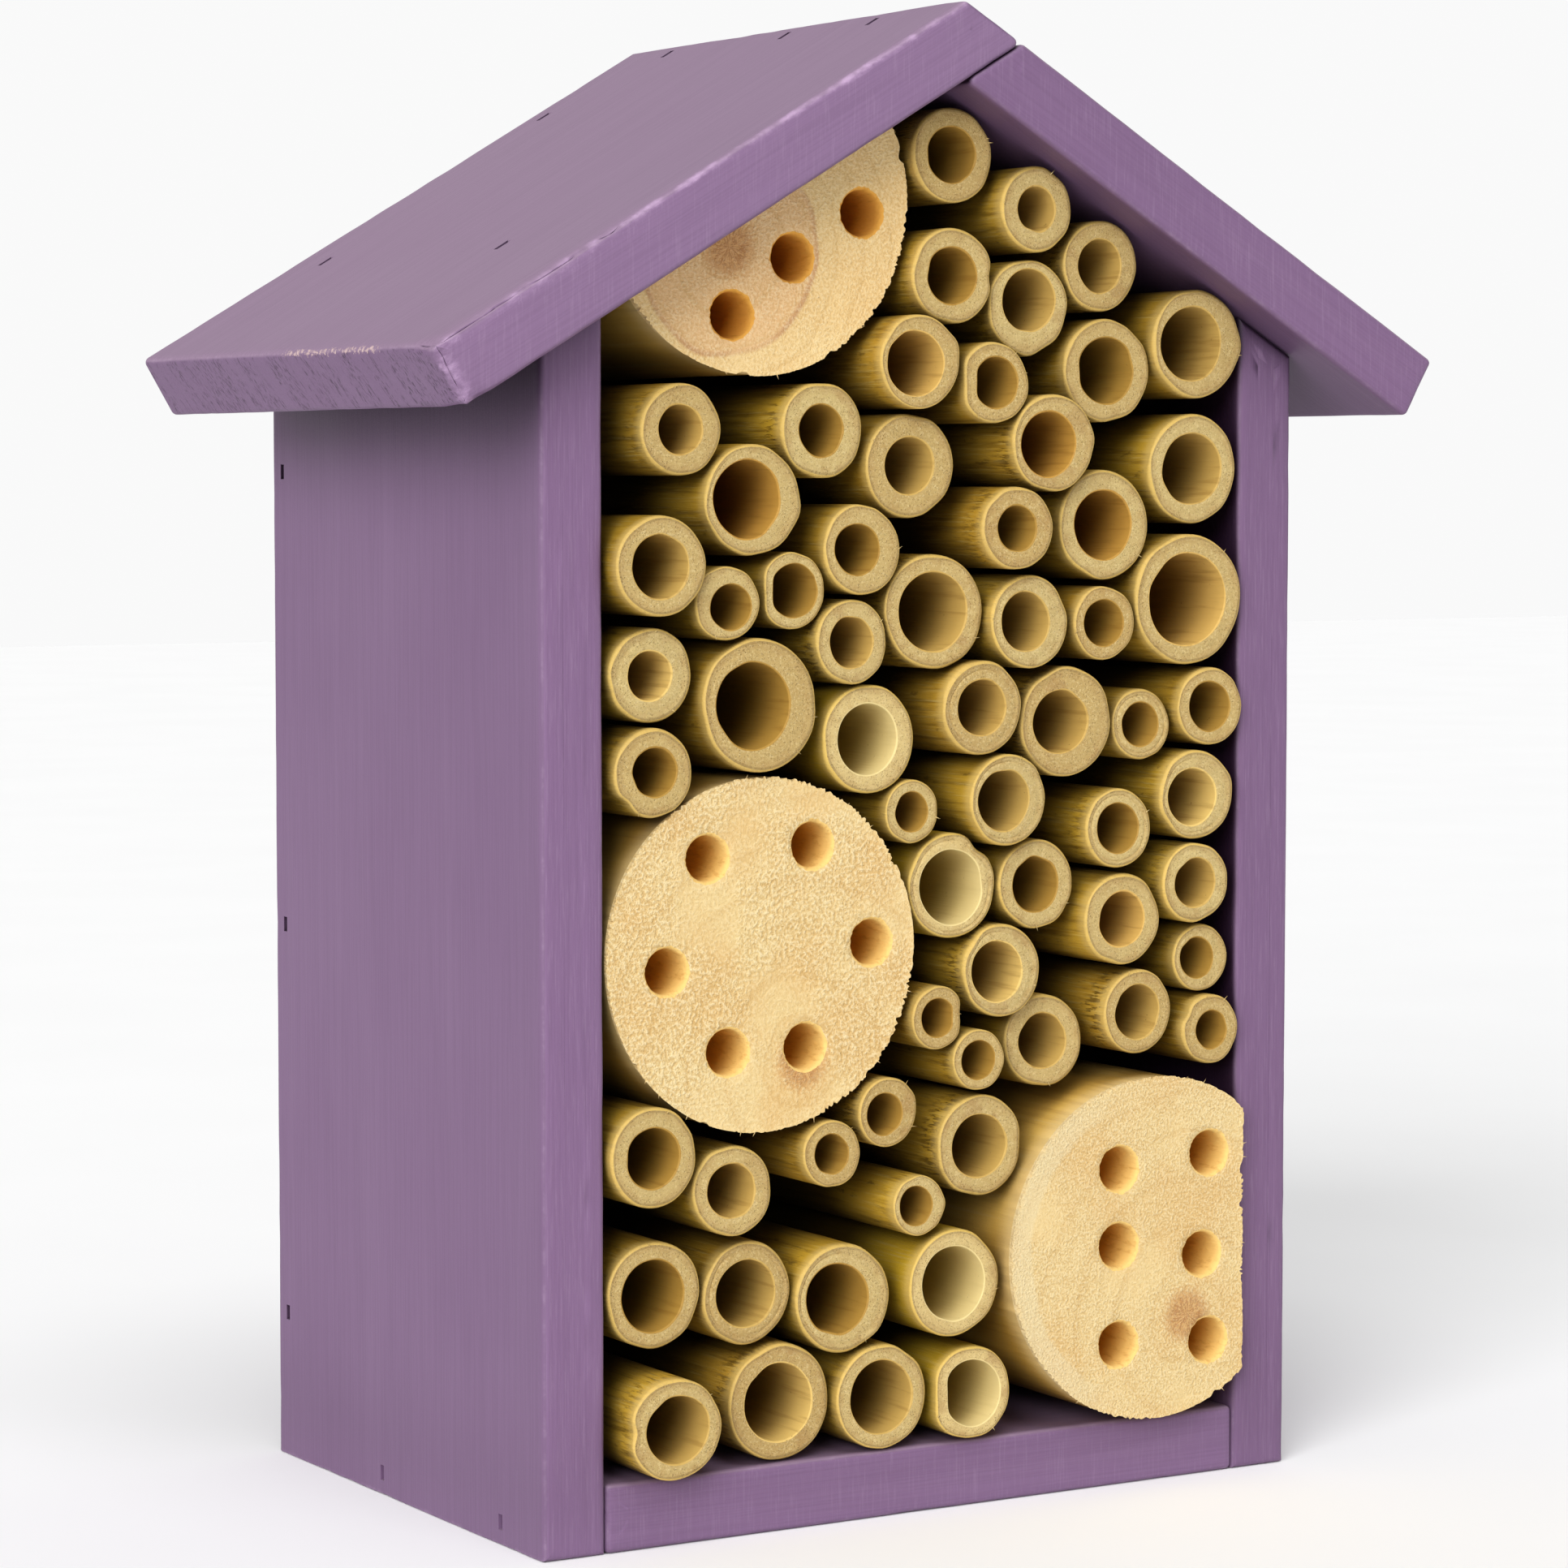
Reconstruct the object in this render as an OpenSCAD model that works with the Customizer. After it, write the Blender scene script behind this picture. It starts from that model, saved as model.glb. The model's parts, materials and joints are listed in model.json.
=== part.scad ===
// Insect hotel: a small pitched-roof house of painted boards, open at the front and packed with
// drilled nest logs and hollow bamboo canes. X is across the house, Y runs from the open front (-)
// to the back panel (+), Z is up. The origin is under the middle of the house, on its base.

/* [House] */
// Height from the base to the ridge
house_h = 265; // [265:1:275]
// Width across the two side panels
box_w = 156; // [156:1:166]
// Depth of the side panels from front to back
box_d = 106; // [92:1:130]
// Thickness of the sides, the floor and the roof boards
board_t = 12; // [10:0.5:12]
// Thickness of the back panel
back_t = 9; // [7:0.5:12]

/* [Roof] */
// Slope of each half of the roof in degrees
roof_pitch = 30.5; // [28:0.5:30.5]
// Width from eave to eave
roof_w = 206; // [190:1:220]
// How far the roof stands out past the front of the side panels
front_overhang = 10; // [4:1:20]
// How far the roof stands out past the back panel
back_overhang = 2; // [0:1:4]

/* [Hanging hole] */
// Diameter of the blind hole in the back panel that hangs the house on a screw head
hang_hole_d = 8; // [5:0.5:10]
// Depth of the hanging hole
hang_hole_depth = 6; // [3:0.5:6]
// Height of the hanging hole above the base
hang_hole_z = 215; // [150:1:225]

/* [Nest logs] */
// Diameter of the nest holes drilled in the logs
nest_hole_d = 8; // [5:0.5:8]
// Depth of the drilled nest holes
nest_hole_depth = 70; // [40:5:75]

/* [Bamboo canes] */
// Solid length left at the back of each cane, where its own node closes the bore
cane_node_len = 8; // [4:1:20]

/* [Brads] */
// Width of a brad's head and of its slot
brad_w = 2.4; // [1.6:0.2:2.8]
// Thickness of a brad
brad_t = 1.2; // [1:0.1:1.4]
// Length of the brads that join the boards
brad_len = 22; // [18:1:24]
// Length of the brads along the ridge
ridge_brad_len = 14; // [10:1:14]
// How deep the heads are punched below the paint
brad_set = 1; // [0.5:0.5:2]

/* [Hidden] */
$fn = 64;
paint = "#8b7091";
cane_tan = "#c6ae78";
log_pine = "#e9d2a2";
steel = "#6f6f72";
over = 1;                                            // how far a cutting shape runs past a face

roof_d = front_overhang + box_d + back_overhang;
roof_front_y = -roof_d / 2;
roof_back_y = roof_d / 2;
box_front_y = roof_front_y + front_overhang;
box_back_y = box_front_y + box_d;
back_inner_y = box_back_y - back_t;
cavity_d = box_d - back_t;
inner_x = box_w / 2 - board_t;
outer_x = box_w / 2;

roof_rise = board_t / cos(roof_pitch);               // height of the roof board measured upright
inner_apex_z = house_h - roof_rise;
function under_roof_z(x) = inner_apex_z - abs(x) * tan(roof_pitch);
function over_roof_z(x) = house_h - abs(x) * tan(roof_pitch);

// Where the left board's underside, carried on past the ridge, meets the top of the right slope
ridge_seam_x = board_t / (2 * sin(roof_pitch));
ridge_seam_z = over_roof_z(ridge_seam_x);

// Nest logs: centre x and z, diameter, how far it stands past the box front, drilled hole centres
UPPER_LOG = [-35.5, 230.5, 61, -1, [[-14.5, 228.5], [-28.5, 220.5], [-40.5, 210.5]]];
MIDDLE_LOG = [-35, 101, 62, 0, [[-46, 118], [-25, 119.5], [-13, 102], [-54, 99], [-42, 84.5],
                                [-26.5, 84.5]]];
LOWER_LOG = [46, 43.5, 63, 3, [[38, 58.5], [58, 60], [38, 44.5], [56.5, 41.5], [38, 26.5],
                               [58, 25.5]]];

// Canes, one course after another from the floor up: centre x and z, outside diameter, bore, how far
// the cut end stands past the box front, then a flat, groove, ridge or thick side and its direction
CANES = [
    [-54.5, 21, 18, 12, 4, "groove", 180],
    [-31, 22.5, 21, 14, -1, "plain", 0],
    [-10.5, 21.5, 19, 13, 0, "plain", 0],
    [7.5, 20.5, 17, 12, 1, "flat", 180],

    [-56, 43.5, 19, 12.5, -1, "plain", 0],
    [-37, 42, 18.5, 12, -2, "plain", 0],
    [-18, 39.5, 19.5, 12.5, -1, "thick", 0],
    [4, 40.5, 19.5, 13.5, 1, "plain", 0],

    [-3.5, 55, 11, 7, 1, "ridge", 0],
    [-41, 60.5, 16, 9.5, 0, "plain", 0],
    [-57, 67.5, 17.5, 10.5, 1, "plain", 0],
    [-21.5, 65.5, 12, 7, 1, "plain", 0],
    [10, 64.5, 18.5, 11.5, 0, "plain", 0],
    [-10, 72, 12.5, 7.5, 1, "ridge", 20],

    [9, 80, 11, 7, 1, "plain", 0],
    [25.5, 82, 17, 10, -3, "plain", 0],
    [59, 82.5, 13, 7, 2, "groove", 150],
    [43.5, 86.5, 15.5, 10, 1, "plain", 0],
    [0.5, 88, 11.5, 7, 1, "flat", 0],
    [14.5, 95.5, 17, 11, 0, "thick", 0],
    [58, 95.5, 12.5, 7.5, 0, "thick", 0],

    [40, 103.5, 17, 10, 1, "plain", 0],
    [55.5, 109.5, 15, 9, 2, "plain", 0],
    [22.5, 110.5, 16.5, 10, -1, "plain", 0],
    [4.5, 111, 19, 13.5, -1, "groove", 50],
    [39, 120, 14.5, 9, 1, "plain", 0],
    [-4.5, 124.5, 11.5, 7, 0, "plain", 0],
    [55.5, 125.5, 16.5, 10.5, 2, "ridge", 20],
    [14.5, 126, 16.5, 11, 2, "thick", 0],

    [-57, 133, 15.5, 8.5, 1, "groove", 225],
    [-13.5, 137.5, 19.5, 12.5, 0, "plain", 0],
    [44.5, 138.5, 13, 8, 0, "plain", 0],
    [27.5, 139.5, 20, 11.5, 1, "thick", 0],
    [58.5, 141.5, 14.5, 9, 2, "plain", 0],
    [9, 142.5, 17, 10, 2, "plain", 0],
    [-36, 144, 23.5, 15, 1, "thick", 0],
    [-57, 149.5, 16.5, 8.5, 0, "plain", 0],

    [-17.5, 154.5, 15, 9, 1, "plain", 0],
    [35, 157, 13.5, 8.5, 2, "plain", 0],
    [19, 157.5, 17, 10.5, 2, "thick", 0],
    [0, 159.5, 20.5, 14, 0, "plain", 0],
    [53.5, 161, 24, 17, 2, "plain", 0],
    [-42.5, 161.5, 13, 8, 1, "ridge", 135],
    [-29, 163.5, 13.5, 9.5, 0, "flat", 180],

    [-56.5, 168, 17.5, 11, 3, "plain", 0],
    [-15.5, 170.5, 16, 9, 1, "thick", 0],
    [15, 174, 15, 8, 4, "plain", 0],
    [35.5, 174.5, 20, 12.5, 1, "plain", 0],
    [-37.5, 179, 19.5, 13.5, 1, "ridge", -10],

    [55, 184.5, 20, 13, 1, "plain", 0],
    [-5, 185, 18.5, 10, 0, "plain", 0],
    [22.5, 189, 17.5, 11.5, 4, "ridge", 10],
    [-51.5, 191, 16, 8.5, 1, "plain", 0],
    [-23, 191, 17, 9, 0, "plain", 0],

    [10, 199.5, 14.5, 9, 4, "flat", 180],
    [36, 202, 19, 12, 1, "plain", 0],
    [-5.5, 203, 16.5, 11.5, 4, "ridge", 20],
    [55, 207, 20, 13.5, 2, "ridge", 0],

    [19, 213, 17, 11, 1, "ridge", 270],
    [2.5, 218, 17, 10, 2, "groove", 0],
    [34.5, 220.5, 16.5, 9.5, 1, "plain", 0],

    [19.5, 230, 15.5, 8, 3, "plain", 0],
    [3, 239, 17, 10, 1, "plain", 0]
];

// Canes slimmer than this are kept together as one bundle
slim_d = 15;
STOUT_CANES = [for (c = CANES) if (c[2] >= slim_d) c];
SLIM_CANES = [for (c = CANES) if (c[2] < slim_d) c];
CANE_NODES = [for (i = [1 : len(STOUT_CANES)]) str("cane_", i < 10 ? "0" : "", i)];

// Shares of a cane's radius that shape its outline
flat_share = 0.86;
groove_r_share = 0.34;
groove_at_share = 1.22;
ridge_r_share = 0.42;
ridge_at_share = 0.64;
// How far the bore sits off centre, and how far from a ridge or a thick side, as shares of the radius
bore_off_share = 0.03;
thick_off_share = 0.13;

// Heights of the brads from the sides into the back panel, and places of the other brads
side_brad_zs = [27, 100, 184];
floor_brad_ys = [-33, 13];
floor_brad_z = 4;
roof_side_brad_ys = [-24, 46];
roof_back_brad_x = 23;
ridge_brad_ys = [-33, -3, 40];
ridge_brad_x = -3;
back_mid_y = back_inner_y + back_t / 2;
side_mid_x = outer_x - board_t / 2;

// Pulls an upright profile drawn in X and Z out along Y
module along_y(from_y, to_y) {
    translate([0, to_y, 0]) rotate([90, 0, 0]) linear_extrude(to_y - from_y) children();
}

// One brad lying along +Z from its head at the origin, its wide side along X
module brad(len) {
    translate([-brad_w / 2, -brad_t / 2, 0]) cube([brad_w, brad_t, len]);
}

// Brads driven in from the outside of a side panel; slot_len adds the punched slot above each head
module one_side_brads(side, slot_len) {
    start_x = side * (outer_x - brad_set + slot_len);
    for (z = side_brad_zs)
        translate([start_x, back_mid_y, z]) rotate([0, -side * 90, 0]) brad(brad_len + slot_len);
    for (y = floor_brad_ys)
        translate([start_x, y, floor_brad_z]) rotate([0, -side * 90, 0]) brad(brad_len + slot_len);
}

// A brad driven straight down through the roof at x, y
module roof_brad_down(x, y, slot_len) {
    top_z = over_roof_z(x) - brad_set;
    translate([x, y, top_z - brad_len]) brad(brad_len + slot_len);
}

// Brads through the roof into the sides and the back, and a row at the ridge, square to the left board
module all_roof_brads(slot_len) {
    for (side = [-1, 1]) {
        for (y = roof_side_brad_ys) roof_brad_down(side * side_mid_x, y, slot_len);
        roof_brad_down(side * roof_back_brad_x, back_mid_y, slot_len);
    }
    for (y = ridge_brad_ys)
        translate([ridge_brad_x, y, over_roof_z(ridge_brad_x)])
            rotate([0, 180 - roof_pitch, 0])
                translate([0, 0, brad_set - slot_len]) brad(ridge_brad_len + slot_len);
}

// Everything the boards are slotted for: the brads and the punched slots above their heads
module brad_slots() {
    slot_len = brad_set + over;
    one_side_brads(-1, slot_len);
    one_side_brads(1, slot_len);
    all_roof_brads(slot_len + brad_w);
}

module side_panel(side) {
    color(paint) difference() {
        along_y(box_front_y, box_back_y)
            polygon([[side * inner_x, 0], [side * outer_x, 0],
                     [side * outer_x, under_roof_z(outer_x)],
                     [side * inner_x, under_roof_z(inner_x)]]);
        brad_slots();
    }
}

module left_side() {
    side_panel(-1);
}

module right_side() {
    side_panel(1);
}

module floor_board() {
    color(paint) difference() {
        translate([-inner_x, box_front_y, 0]) cube([2 * inner_x, cavity_d, board_t]);
        brad_slots();
    }
}

module back_panel() {
    color(paint) difference() {
        along_y(back_inner_y, box_back_y)
            polygon([[-inner_x, 0], [inner_x, 0], [inner_x, under_roof_z(inner_x)],
                     [0, inner_apex_z], [-inner_x, under_roof_z(inner_x)]]);
        brad_slots();
        translate([0, box_back_y + over, hang_hole_z]) rotate([90, 0, 0])
            cylinder(d = hang_hole_d, h = hang_hole_depth + over);
    }
}

// The left board runs over the ridge and laps the end of the right board
module roof_left() {
    eave_x = roof_w / 2;
    color(paint) difference() {
        along_y(roof_front_y, roof_back_y)
            polygon([[0, house_h], [-eave_x, over_roof_z(eave_x)],
                     [-eave_x + board_t * sin(roof_pitch),
                      over_roof_z(eave_x) - board_t * cos(roof_pitch)],
                     [0, inner_apex_z], [ridge_seam_x, ridge_seam_z]]);
        brad_slots();
    }
}

module roof_right() {
    eave_x = roof_w / 2;
    color(paint) difference() {
        along_y(roof_front_y, roof_back_y)
            polygon([[ridge_seam_x, ridge_seam_z], [0, inner_apex_z],
                     [eave_x - board_t * sin(roof_pitch),
                      over_roof_z(eave_x) - board_t * cos(roof_pitch)],
                     [eave_x, over_roof_z(eave_x)]]);
        brad_slots();
    }
}

module side_brads() {
    color(steel) {
        one_side_brads(-1, 0);
        one_side_brads(1, 0);
    }
}

module roof_brads() {
    color(steel) all_roof_brads(0);
}

// A round log trimmed to the inside of the house, with blind nest holes drilled from its front
module nest_log(spec) {
    front_y = box_front_y - spec[3];
    color(log_pine) difference() {
        along_y(front_y, back_inner_y) intersection() {
            translate([spec[0], spec[1]]) circle(d = spec[2]);
            polygon([[-inner_x, board_t], [inner_x, board_t], [inner_x, under_roof_z(inner_x)],
                     [0, inner_apex_z], [-inner_x, under_roof_z(inner_x)]]);
        }
        along_y(front_y - over, front_y + nest_hole_depth)
            for (hole = spec[4]) translate(hole) circle(d = nest_hole_d);
    }
}

module upper_log() {
    nest_log(UPPER_LOG);
}

module middle_log() {
    nest_log(MIDDLE_LOG);
}

module lower_log() {
    nest_log(LOWER_LOG);
}

// A circle with one side, towards +X, made flat, grooved or ridged
module cane_profile(r, feature) {
    if (feature == "flat") {
        intersection() {
            circle(r);
            translate([-2 * r + flat_share * r, -r]) square([2 * r, 2 * r]);
        }
    } else if (feature == "groove") {
        difference() {
            circle(r);
            translate([groove_at_share * r, 0]) circle(groove_r_share * r);
        }
    } else if (feature == "ridge") {
        union() {
            circle(r);
            translate([ridge_at_share * r, 0]) circle(ridge_r_share * r);
        }
    } else {
        circle(r);
    }
}

// A hollow cane from the back panel to its cut front end, closed at the back by its own node
module cane(spec) {
    front_y = box_front_y - spec[4];
    feature = spec[5];
    off_share = feature == "ridge" || feature == "thick" ? thick_off_share : bore_off_share;
    color(cane_tan) difference() {
        along_y(front_y, back_inner_y)
            translate([spec[0], spec[1]]) rotate(spec[6]) cane_profile(spec[2] / 2, feature);
        along_y(front_y - over, back_inner_y - cane_node_len)
            translate([spec[0], spec[1]]) rotate(spec[6]) translate([-off_share * spec[2] / 2, 0])
                cane_profile(spec[3] / 2, feature == "flat" ? "flat" : "plain");
    }
}

module slim_canes() {
    for (spec = SLIM_CANES) cane(spec);
}

left_side();
right_side();
floor_board();
back_panel();
roof_left();
roof_right();
side_brads();
roof_brads();
upper_log();
middle_log();
lower_log();
slim_canes();
for (i = [0 : len(CANE_NODES) - 1])
    cane(STOUT_CANES[i]);
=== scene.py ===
"""Looks of the insect hotel: painted boards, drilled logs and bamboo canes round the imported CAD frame.

Every outline and place is read from the frame's meshes. Lengths are in metres, and mm() turns
millimetres into them. Places inside a material are in millimetres. Colours are display values
from 0 to 255.
"""

import json
import math
import random
from collections import namedtuple

import bmesh
import bpy
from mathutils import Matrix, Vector, noise
from mathutils.geometry import delaunay_2d_cdt


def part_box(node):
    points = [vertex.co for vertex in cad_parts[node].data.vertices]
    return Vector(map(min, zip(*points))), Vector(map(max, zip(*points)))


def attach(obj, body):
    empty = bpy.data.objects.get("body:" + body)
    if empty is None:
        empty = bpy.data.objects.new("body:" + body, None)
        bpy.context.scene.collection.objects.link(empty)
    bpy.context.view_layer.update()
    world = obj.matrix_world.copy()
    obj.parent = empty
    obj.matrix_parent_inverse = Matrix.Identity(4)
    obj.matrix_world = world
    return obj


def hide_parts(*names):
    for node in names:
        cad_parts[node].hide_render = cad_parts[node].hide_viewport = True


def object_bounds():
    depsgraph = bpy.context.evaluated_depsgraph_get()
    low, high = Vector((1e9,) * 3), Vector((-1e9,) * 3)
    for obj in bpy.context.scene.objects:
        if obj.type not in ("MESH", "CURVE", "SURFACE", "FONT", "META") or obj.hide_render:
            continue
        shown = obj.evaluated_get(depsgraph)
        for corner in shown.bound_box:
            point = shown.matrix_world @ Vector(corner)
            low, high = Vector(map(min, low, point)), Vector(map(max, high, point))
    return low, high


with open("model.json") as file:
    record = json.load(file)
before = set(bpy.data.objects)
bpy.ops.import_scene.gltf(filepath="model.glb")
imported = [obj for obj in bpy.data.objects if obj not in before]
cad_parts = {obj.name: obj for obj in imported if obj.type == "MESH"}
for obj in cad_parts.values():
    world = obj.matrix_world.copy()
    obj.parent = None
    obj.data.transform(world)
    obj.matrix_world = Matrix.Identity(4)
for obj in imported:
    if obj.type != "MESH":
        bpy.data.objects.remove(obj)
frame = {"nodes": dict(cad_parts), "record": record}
cad_low, cad_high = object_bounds()
scene = bpy.context.scene

SEED = 20


def mm(value):
    return value * 0.001


# ---- shapes read from the frame

WELD = mm(0.002)
FRONT_PLAY = mm(0.01)
STRAIGHT_TURN = mm(1) * mm(0.05)


def welded(node):
    """A CAD node's mesh as a bmesh, with the vertices that its sharp edges split joined again."""
    mesh = bmesh.new()
    mesh.from_mesh(frame["nodes"][node].data)
    bmesh.ops.remove_doubles(mesh, verts=mesh.verts, dist=WELD)
    return mesh


def loose_parts(mesh):
    """The bmesh's connected parts, each a list of its vertices."""
    found = set()
    parts = []
    for start in mesh.verts:
        if start in found:
            continue
        found.add(start)
        waiting = [start]
        part = []
        while waiting:
            vert = waiting.pop()
            part.append(vert)
            others = [edge.other_vert(vert) for edge in vert.link_edges]
            waiting += [other for other in others if other not in found]
            found.update(others)
        parts.append(part)
    return parts


def flat(vert):
    """A vertex as a 2-D point, as seen from the front."""
    return Vector((vert.co.x, vert.co.z))


def board_corners(node):
    """A board's convex outline from the front, counter-clockwise, without points along a straight side."""
    points = sorted({(round(v.co.x, 6), round(v.co.z, 6)) for v in frame["nodes"][node].data.vertices})

    def half(side):
        chain = []
        for p in side:
            while len(chain) >= 2:
                a, b = chain[-2], chain[-1]
                if (b[0] - a[0]) * (p[1] - a[1]) - (b[1] - a[1]) * (p[0] - a[0]) > STRAIGHT_TURN:
                    break
                chain.pop()
            chain.append(p)
        return chain[:-1]

    return [Vector(p) for p in half(points) + half(points[::-1])]


def perimeter(points):
    return sum((points[i] - points[i - 1]).length for i in range(len(points)))


def bored_shape(part):
    """A part's outline and its holes' from the front, and the y of its front, its holes' end and its back."""
    front_y, back_y = min(v.co.y for v in part), max(v.co.y for v in part)
    # A dict keeps its order, so the walk round a rim is the same in each run
    on_front = dict.fromkeys(v for v in part if v.co.y < front_y + FRONT_PLAY)
    rim = {}
    for vert in on_front:
        for edge in vert.link_edges:
            front_faces = [f for f in edge.link_faces if all(v in on_front for v in f.verts)]
            if edge.other_vert(vert) in on_front and len(front_faces) == 1:
                rim.setdefault(vert, []).append(edge.other_vert(vert))
    loops = []
    while rim:
        here = next(iter(rim))
        loop = []
        while here:
            loop.append(flat(here))
            here = next((v for v in rim.pop(here) if v in rim), None)
        loops.append(loop)
    outline, *holes = sorted(loops, key=perimeter, reverse=True)
    blind_y = sorted({round(v.co.y, 5) for v in part})[-2]
    return outline, holes, front_y, blind_y, back_y


def middle(points):
    """The centre of the box round some 2-D points."""
    xs, zs = zip(*points)
    return Vector(((min(xs) + max(xs)) / 2, (min(zs) + max(zs)) / 2))


def compass(count):
    """Unit 2-D directions all the way round, from +X on."""
    return [Vector((math.cos(a), math.sin(a))) for a in (math.tau * i / count for i in range(count))]


def radii_round(points, centre, count):
    """Distances from centre to a star-shaped outline, in the compass's directions."""
    polar = sorted((math.atan2(p.y - centre.y, p.x - centre.x) % math.tau, (p - centre).length)
                   for p in points)
    polar = [(polar[-1][0] - math.tau, polar[-1][1])] + polar + [(polar[0][0] + math.tau, polar[0][1])]
    radii = []
    at = 0
    for step in range(count):
        angle = math.tau * step / count
        while polar[at + 1][0] < angle:
            at += 1
        (a0, r0), (a1, r1) = polar[at], polar[at + 1]
        # The straight chord between two outline points, not an arc through them
        chord = r1 * math.sin(a1 - angle) + r0 * math.sin(angle - a0)
        radii.append(r0 * r1 * math.sin(a1 - a0) / chord if a1 - a0 > 1e-6 else r0)
    return radii


# ---- mesh helpers


SQUARE = ((-1, -1), (1, -1), (1, 1), (-1, 1))
# The order of a cane's or log's materials
END, SIDE, HOLE = 0, 1, 2


def add_object(name, data):
    thing = bpy.data.objects.new(name, data)
    scene.collection.objects.link(thing)
    return thing


def mesh_data(name, mesh):
    """A bmesh as mesh data; the bmesh is used up."""
    data = bpy.data.meshes.new(name)
    mesh.to_mesh(data)
    mesh.free()
    return data


def new_piece(name, mesh, materials, replaced, smooth_angle):
    """An object of a bmesh, riding on the one body and standing for a CAD node."""
    bmesh.ops.recalc_face_normals(mesh, faces=mesh.faces)
    data = mesh_data(name, mesh)
    for material in materials:
        data.materials.append(material)
    piece = add_object(name, data)
    data.shade_smooth()
    data.set_sharp_from_angle(angle=math.radians(smooth_angle))
    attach(piece, "root")
    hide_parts(replaced)
    return piece


def ring(mesh, points):
    return [mesh.verts.new(p) for p in points]


def tube(mesh, rows, materials=None):
    """Vertices at rows of points, each closed to a ring, and quads between each two."""
    rings = [ring(mesh, points) for points in rows]
    for first, second, material in zip(rings, rings[1:], materials or [0] * len(rings)):
        for i in range(len(first)):
            face = mesh.faces.new((first[i - 1], first[i], second[i], second[i - 1]))
            face.material_index = material
    return rings


def cone(mesh, foot, point, material=0):
    """Triangles from a ring of vertices to a point."""
    tip = mesh.verts.new(point)
    for i in range(len(foot)):
        mesh.faces.new((foot[i - 1], foot[i], tip)).material_index = material


def splinter(mesh, base, direction, length, width):
    """A loose fibre: a thin closed spike standing on a surface."""
    direction = direction.normalized()
    side = direction.orthogonal().normalized() * width
    foot = ring(mesh, [base + side, base + direction.cross(side), base - side - direction.cross(side)])
    cone(mesh, foot, base + direction * length)
    mesh.faces.new(foot[::-1])


def subtract(piece, stacks):
    """Cuts closed shapes out of a piece. Each is a stack of rings of points."""
    mesh = bmesh.new()
    for stack in stacks:
        rings = tube(mesh, stack)
        mesh.faces.new(rings[0][::-1])
        mesh.faces.new(rings[-1])
    bmesh.ops.recalc_face_normals(mesh, faces=mesh.faces)
    cutter = add_object("cutter", mesh_data("cutter", mesh))
    modifier = piece.modifiers.new("cut", "BOOLEAN")
    modifier.operation = "DIFFERENCE"
    modifier.solver = "EXACT"
    modifier.object = cutter
    bpy.context.view_layer.update()
    cut = bpy.data.meshes.new_from_object(piece.evaluated_get(bpy.context.evaluated_depsgraph_get()))
    piece.modifiers.remove(modifier)
    piece.data = cut
    bpy.data.objects.remove(cutter)


def wander(point, scale, seed):
    """Smooth noise from -1 to 1 that changes over about scale metres, another one for each seed."""
    return noise.noise(Vector(point) / scale + Vector((seed * 17.3, seed * 5.1, seed * 9.7)))


def quarter_turn(steps):
    """Angles from 0 to a right angle, in even steps."""
    return [math.pi / 2 * step / steps for step in range(steps + 1)]


# ---- material helpers


def linear(colour):
    """A display colour as the linear one that shaders take."""
    return (*(((c / 255 + 0.055) / 1.055) ** 2.4 if c > 10 else c / 255 / 12.92 for c in colour), 1.0)


def new_node(tree, kind, inputs=(), **settings):
    """A shader node with these settings. Its inputs are linked or set, by name or number."""
    node = tree.nodes.new("ShaderNode" + kind)
    for key, value in settings.items():
        setattr(node, key, value)
    for key, value in dict(inputs).items():
        feed(node.inputs[key], value)
    return node


def feed(socket, value):
    if isinstance(value, bpy.types.NodeSocket):
        socket.id_data.links.new(value, socket)
    else:
        socket.default_value = value


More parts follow.
